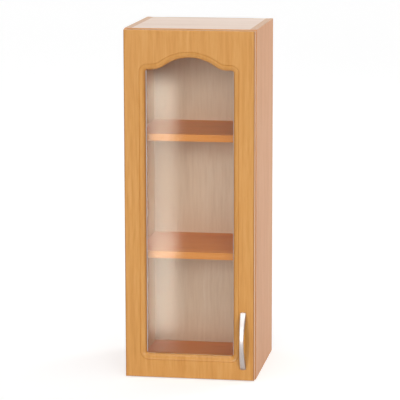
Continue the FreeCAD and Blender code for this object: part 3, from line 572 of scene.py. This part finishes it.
plate_screw = cross_screw(head_radius=0.0036, head=0.0018, shank_radius=0.002, length=0.013, sunk=True)
plate_screws = drive("hinge_plate_screws", "plate_screws", "x", plate_screw)
plate_screws.data.materials.append(nickel)
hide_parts("hinge_plate_screws")
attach(plate_screws, "carcass")

low, high = loose_boxes("hinge_arm_screws")[0]
arm_screw = cross_screw(head_radius=0.004, head=0.0022, shank_radius=0.0025, length=high.x - low.x)
arm_screws = drive("hinge_arm_screws", "arm_screws", "x", arm_screw)
arm_screws.data.materials.append(nickel)
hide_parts("hinge_arm_screws")
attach(arm_screws, "carcass")


# Door
# One routed fibreboard, wrapped in front with a honey coloured wood film that follows the moulding.
# The grain runs upright over rails and stiles alike; the flat back has the beech film of the sides.
def wrapped_door():
    """Painted shade makes the film browner in the groove, on the lip round the pane and on the outer rounds.
    """
    outer_from, lip_to = 0.14, 0.108
    # Painted shade: one brown for each place where shade falls on the film.
    painted_shades = {"groove": colour(120, 66, 22), "lip": colour(138, 82, 30), "rounds": colour(128, 72, 22)}
    outer_side = colour(222, 160, 114)
    honey_film = [colour(195, 133, 60), colour(207, 147, 74), colour(214, 157, 87)]
    material, tree, shader = new_finish("honey wood film", Roughness=0.32, Specular_IOR_Level=0.2,
                                        Coat_Weight=0.35, Coat_Roughness=0.08)
    log = lay(tree, "ShaderNodeMapping", {"Vector": where(tree), "Location": (0.05, 0.27, 0),
                                          "Rotation": (math.radians(42), 0, 0), "Scale": (1, 1, 0.06)})
    rings = lay(tree, "ShaderNodeTexWave", {"Vector": log.outputs["Vector"], "Scale": 26, "Distortion": 5,
                                            "Detail": 2, "Detail Scale": 1.2},
                wave_type="RINGS", rings_direction="Z")
    film, lines = wood_print(tree, *honey_film, "z", rings=rings.outputs["Fac"])
    paper, _ = wood_print(tree, *beech_film, "z")
    normal = where(tree, "Normal")
    behind = reckon(tree, "GREATER_THAN", along_axis(tree, normal, "y"), 0.9)
    film = blend_colours(tree, behind, film, paper)
    # Painted shade in the groove: the film darkens where other surfaces close in within a few millimetres.
    groove = grade(tree, openness(tree, reach=0.004), 0.35, 0.8, 0.08, 0)
    film = blend_colours(tree, groove, film, painted_shades["groove"])
    turned = reckon(tree, "ABSOLUTE", along_axis(tree, normal, "x"))
    distance = reckon(tree, "ABSOLUTE", along_axis(tree, where(tree), "x"))
    outer = reckon(tree, "GREATER_THAN", distance, outer_from)
    lip = reckon(tree, "LESS_THAN", distance, lip_to)
    # Painted shade on the steep lip faces round the pane; on the outer sides the same share gives the paler
    # edge tone.
    upright = grade(tree, turned, 0.6, 0.9, 0, 0.5)
    edges = reckon(tree, "MULTIPLY", upright, reckon(tree, "MAXIMUM", outer, lip))
    film = blend_colours(tree, edges, film, blend_colours(tree, outer, painted_shades["lip"], outer_side))
    # Painted shade on the outer rounds, where the surface turns from the front to the side.
    begins = grade(tree, turned, 0.1, 0.4, 0, 0.5)
    ends = grade(tree, turned, 0.85, 0.98, 1, 0.1)
    rounds = reckon(tree, "MULTIPLY", reckon(tree, "MULTIPLY", begins, ends), outer)
    tree.links.new(blend_colours(tree, rounds, film, painted_shades["rounds"]), shader.inputs["Base Color"])
    relief(tree, shader, lines, distance=0.00004, edge=0.0006)
    return material


dress(wrapped_door(), "door_frame")


# Pane, seal and glazing strips
# Clear float glass on a thin seal, held from behind by plastic strips and small screws.
# The strips have a rounded nose towards the pane.
def float_glass():
    """What the pane mirrors grows as it is seen more along its face; the rest shows what is behind it."""
    bending = 1.3
    material, tree, shader = new_finish("clear float glass", Roughness=0.14, Metallic=1.0)
    tones = [(0.3, colour(250, 246, 238)), (0.7, colour(255, 252, 246))]
    tree.links.new(ramp(tree, mottle(tree, waves=3, detail=2), tones), shader.inputs["Base Color"])
    leaving = lay(tree, "ShaderNodeNewGeometry").outputs["Backfacing"]
    mirrored = lay(tree, "ShaderNodeFresnel", {"IOR": grade(tree, leaving, 0, 1, bending, 1 / bending)})
    tree.links.new(mirrored.outputs[0], shader.inputs["Alpha"])
    return material


dress(float_glass(), "door_glass")
dress(moulded("seal rubber", colour(204, 200, 204), roughness=0.4), "glass_seal")
strip_plastic = moulded("strip plastic", colour(214, 162, 104), roughness=0.4)
nose_round = 0.0017
for side, axis, inward in (("left", "x", 1), ("right", "x", -1), ("bottom", "z", 1), ("top", "z", -1)):
    low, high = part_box(f"glazing_strip_{side}")
    strip = start(f"bead_{side}", "cube", size=1, location=(low + high) / 2, scale=high - low)
    across = "xyz".index(axis)
    nose = high[across] if inward > 0 else low[across]
    choose(strip, edges=lambda one, other: min(one.y, other.y) > high.y - hair
           and max(abs(one[across] - nose), abs(other[across] - nose)) < hair)
    bpy.ops.mesh.bevel(offset=nose_round, segments=5, affect="EDGES")
    leave()
    ease(strip, width=0.0002, segments=2)
    strip.data.materials.append(strip_plastic)
    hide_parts(f"glazing_strip_{side}")
    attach(strip, "door")

bead_screw = cross_screw(head_radius=0.0016, head=0.0008, shank_radius=0.001, length=0.0088)
bead_screws = drive("glazing_screws", "bead_screws", "y", bead_screw)
bead_screws.data.materials.append(nickel)
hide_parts("glazing_screws")
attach(bead_screws, "door")


# Handle
# A cast bow with satin chrome, its feet rounded off at their corners.
# Two screws from behind the door hold it.
foot_round, tip, play = 0.0045, 0.0004, 0.002
bow = bpy.data.objects.new("bow_handle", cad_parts["handle"].data.copy())
bow.data.materials.clear()
bpy.context.scene.collection.objects.link(bow)
take(bow)
bpy.ops.object.mode_set(mode="EDIT")
bpy.ops.mesh.select_all(action="SELECT")
bpy.ops.mesh.remove_doubles(threshold=0.000002)
leave()
low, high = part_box("handle")
mould = start("mould", "cube", size=1, location=(low + high) / 2,
              scale=high - low + Vector((tip, play, -tip)))
choose(mould, edges=lambda one, other: abs(one.y - other.y) > play)
bpy.ops.mesh.bevel(offset=foot_round, segments=8, affect="EDGES")
leave()
join_in(bow, mould, "INTERSECT")
smooth(bow)
bow.data.materials.append(metal("satin chrome", colour(188, 181, 177), roughness=0.34))
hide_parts("handle")
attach(bow, "door")

low, high = loose_boxes("handle_screws")[0]
bolt = cross_screw(head_radius=0.004, head=0.0024, shank_radius=0.002, length=high.y - low.y)
bolts = drive("handle_screws", "handle_bolts", "y", bolt)
bolts.data.materials.append(zinc_plate)
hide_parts("handle_screws")
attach(bolts, "door")


# Bumpers
# Two clear soft buffers, domed, that are stuck to the back of the door.
# They meet the carcass when the door closes.
dome_radius, dome_height, crown_round = 0.004, 0.0027, 0.002
dome = start("dome", "cylinder", vertices=32, radius=dome_radius, depth=dome_height,
             location=(0, 0, dome_height / 2))
choose(dome, faces=lambda spot, normal: normal.z > 0.9)
bpy.ops.mesh.bevel(offset=crown_round, segments=6, affect="EDGES")
leave()
smooth(dome)
places = []
for low, high in loose_boxes("door_bumpers"):
    base = Vector(((low.x + high.x) / 2, low.y, (low.z + high.z) / 2))
    places.append(Matrix.Translation(base) @ Matrix.Rotation(-quarter, 4, "X"))
domes = set_out(dome, "bumper_domes", places)
domes.data.materials.append(moulded("bumper rubber", colour(208, 206, 200), roughness=0.4))
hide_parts("door_bumpers")
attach(domes, "door")


# Studio
# A pale floor under an even sky, with soft lights from in front, from above and from the right.
# The door has two lights of its own, the handle one, and a strip light shows in the pane alone.
def seen(tree):
    """One for what is seen, straight, mirrored or through the pane, and nought for what only lights."""
    rays = lay(tree, "ShaderNodeLightPath").outputs
    first = reckon(tree, "MAXIMUM", rays["Is Camera Ray"], rays["Is Glossy Ray"])
    return reckon(tree, "MAXIMUM", first, rays["Is Transmission Ray"])


white = (1, 1, 1, 1)
floor_grey, floor_glow, sky_light = (0.66, 0.66, 0.66, 1), 0.5, 0.27
floor = start("floor", "plane", size=60, location=(0, 0, cad_box[0][2]))
material, tree, shader = new_finish("pale floor", Roughness=0.9, Base_Color=floor_grey,
                                    Emission_Color=white)
tree.links.new(reckon(tree, "MULTIPLY", seen(tree), floor_glow), shader.inputs["Emission Strength"])
floor.data.materials.append(material)

world = bpy.data.worlds.new("studio")
bpy.context.scene.world = world
world.use_nodes = True
sky = world.node_tree
background = sky.nodes["Background"]
background.inputs["Color"].default_value = white
sky.links.new(grade(sky, seen(sky), 0, 1, sky_light, 1), background.inputs["Strength"])


def hang(name, lamp, way):
    """A lamp that shines along a way."""
    holder = bpy.data.objects.new(name, lamp)
    holder.rotation_euler = way.to_track_quat("-Z", "Y").to_euler()
    bpy.context.scene.collection.objects.link(holder)
    return holder


def soft_sun(name, direction, strength, spread):
    lamp = bpy.data.lights.new(name, "SUN")
    lamp.energy = strength
    lamp.angle = math.radians(spread)
    return hang(name, lamp, Vector(direction))


def soft_box(name, spot, aim, watts, size):
    lamp = bpy.data.lights.new(name, "AREA")
    lamp.shape = "DISK"
    lamp.size = size
    lamp.energy = watts
    holder = hang(name, lamp, Vector(aim) - Vector(spot))
    holder.location = spot
    holder.visible_camera = False
    holder.visible_glossy = False
    return holder


def tie(light, piece, state="INCLUDE"):
    """Let a light fall on one piece alone, or on all but that piece."""
    tied = bpy.data.collections.new(f"{light.name} and {piece.name}")
    tied.objects.link(piece)
    tied.collection_objects[0].light_linking.link_state = state
    light.light_linking.receiver_collection = tied


key = soft_sun("key light", direction=(0.02, 1.0, -0.195), strength=1.18, spread=22)
fill = soft_sun("fill light", direction=(0.0, 1.0, 0.03), strength=0.35, spread=70)
front = soft_box("front light", spot=(1.2, -3.2, 0.9), aim=(0, -0.3, -0.1), watts=19, size=1.2)
soft_sun("top light", direction=(0.05, 0.12, -1.0), strength=1.0, spread=50)
soft_box("side light", spot=(3.0, 2.6, 1.0), aim=(0.15, -0.15, -0.35), watts=60, size=2.5)
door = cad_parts["door_frame"]
for light in (key, fill, front):
    tie(light, door, "EXCLUDE")
tie(soft_sun("left door light", direction=(0.33, 0.94, -0.12), strength=0.95, spread=10), door)
tie(soft_sun("right door light", direction=(-0.53, 0.85, -0.12), strength=1.05, spread=10), door)
tie(soft_sun("handle light", direction=(0.13, 0.74, -0.67), strength=0.6, spread=55), bow)

strip_middle, strip_width, strip_height = (-0.095, -0.45, -0.37), 0.13, 0.745
strip_strength, strip_white, strip_joint = 14.5, (1, 0.95, 0.84, 1), -0.3
left_fade, right_fade = (-0.156, -0.104), (-0.038, -0.090)
upper_fade, lower_fade, joint_fade = (-0.055, -0.115), (-0.715, -0.655), (0.03, 0.2)
card = start("light_strip", "plane", size=1, location=strip_middle, rotation=(quarter, 0, 0),
             scale=(strip_width, strip_height, 1))
material, tree, _ = new_finish("light strip")
across, height = (along_axis(tree, where(tree), axis) for axis in "xz")
from_joint = reckon(tree, "ABSOLUTE", reckon(tree, "SUBTRACT", height, strip_joint))
slanting = lay(tree, "ShaderNodeLayerWeight", {"Blend": 0.5}).outputs["Facing"]
straight_on = reckon(tree, "SUBTRACT", 1, slanting)
level = strip_strength
for fade in (
    grade(tree, across, *left_fade, 0, 1, smooth=True),
    grade(tree, across, *right_fade, 0, 1, smooth=True),
    grade(tree, height, *upper_fade, 0, 1, smooth=True),
    grade(tree, height, *lower_fade, 0.25, 1, smooth=True),
    grade(tree, from_joint, *joint_fade, 0.75, 1, smooth=True),
    reckon(tree, "POWER", straight_on, 4),
):
    level = reckon(tree, "MULTIPLY", fade, level)
glow = lay(tree, "ShaderNodeEmission", {"Color": strip_white, "Strength": level}).outputs[0]
clear = lay(tree, "ShaderNodeBsdfTransparent").outputs[0]
both = lay(tree, "ShaderNodeAddShader", {0: glow, 1: clear}).outputs[0]
tree.links.new(both, tree.nodes["Material Output"].inputs["Surface"])
card.data.materials.append(material)
tie(card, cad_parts["door_glass"])
for rays in ("camera", "diffuse", "transmission", "volume_scatter", "shadow"):
    setattr(card, f"visible_{rays}", False)

focal_pixels, picture_width, sensor_width = 2162.49, 400, 36
lens = bpy.data.cameras.new("camera")
lens.sensor_width = sensor_width
lens.lens = sensor_width * focal_pixels / picture_width
lens.clip_end = 100
camera = bpy.data.objects.new("camera", lens)
camera.location = (0.80507, -5.02533, 0.51787)
camera.rotation_euler = [math.radians(turn) for turn in (79.899, 0.095, 9.357)]
bpy.context.scene.collection.objects.link(camera)
bpy.context.scene.camera = camera
bpy.context.scene.view_settings.view_transform = "Standard"
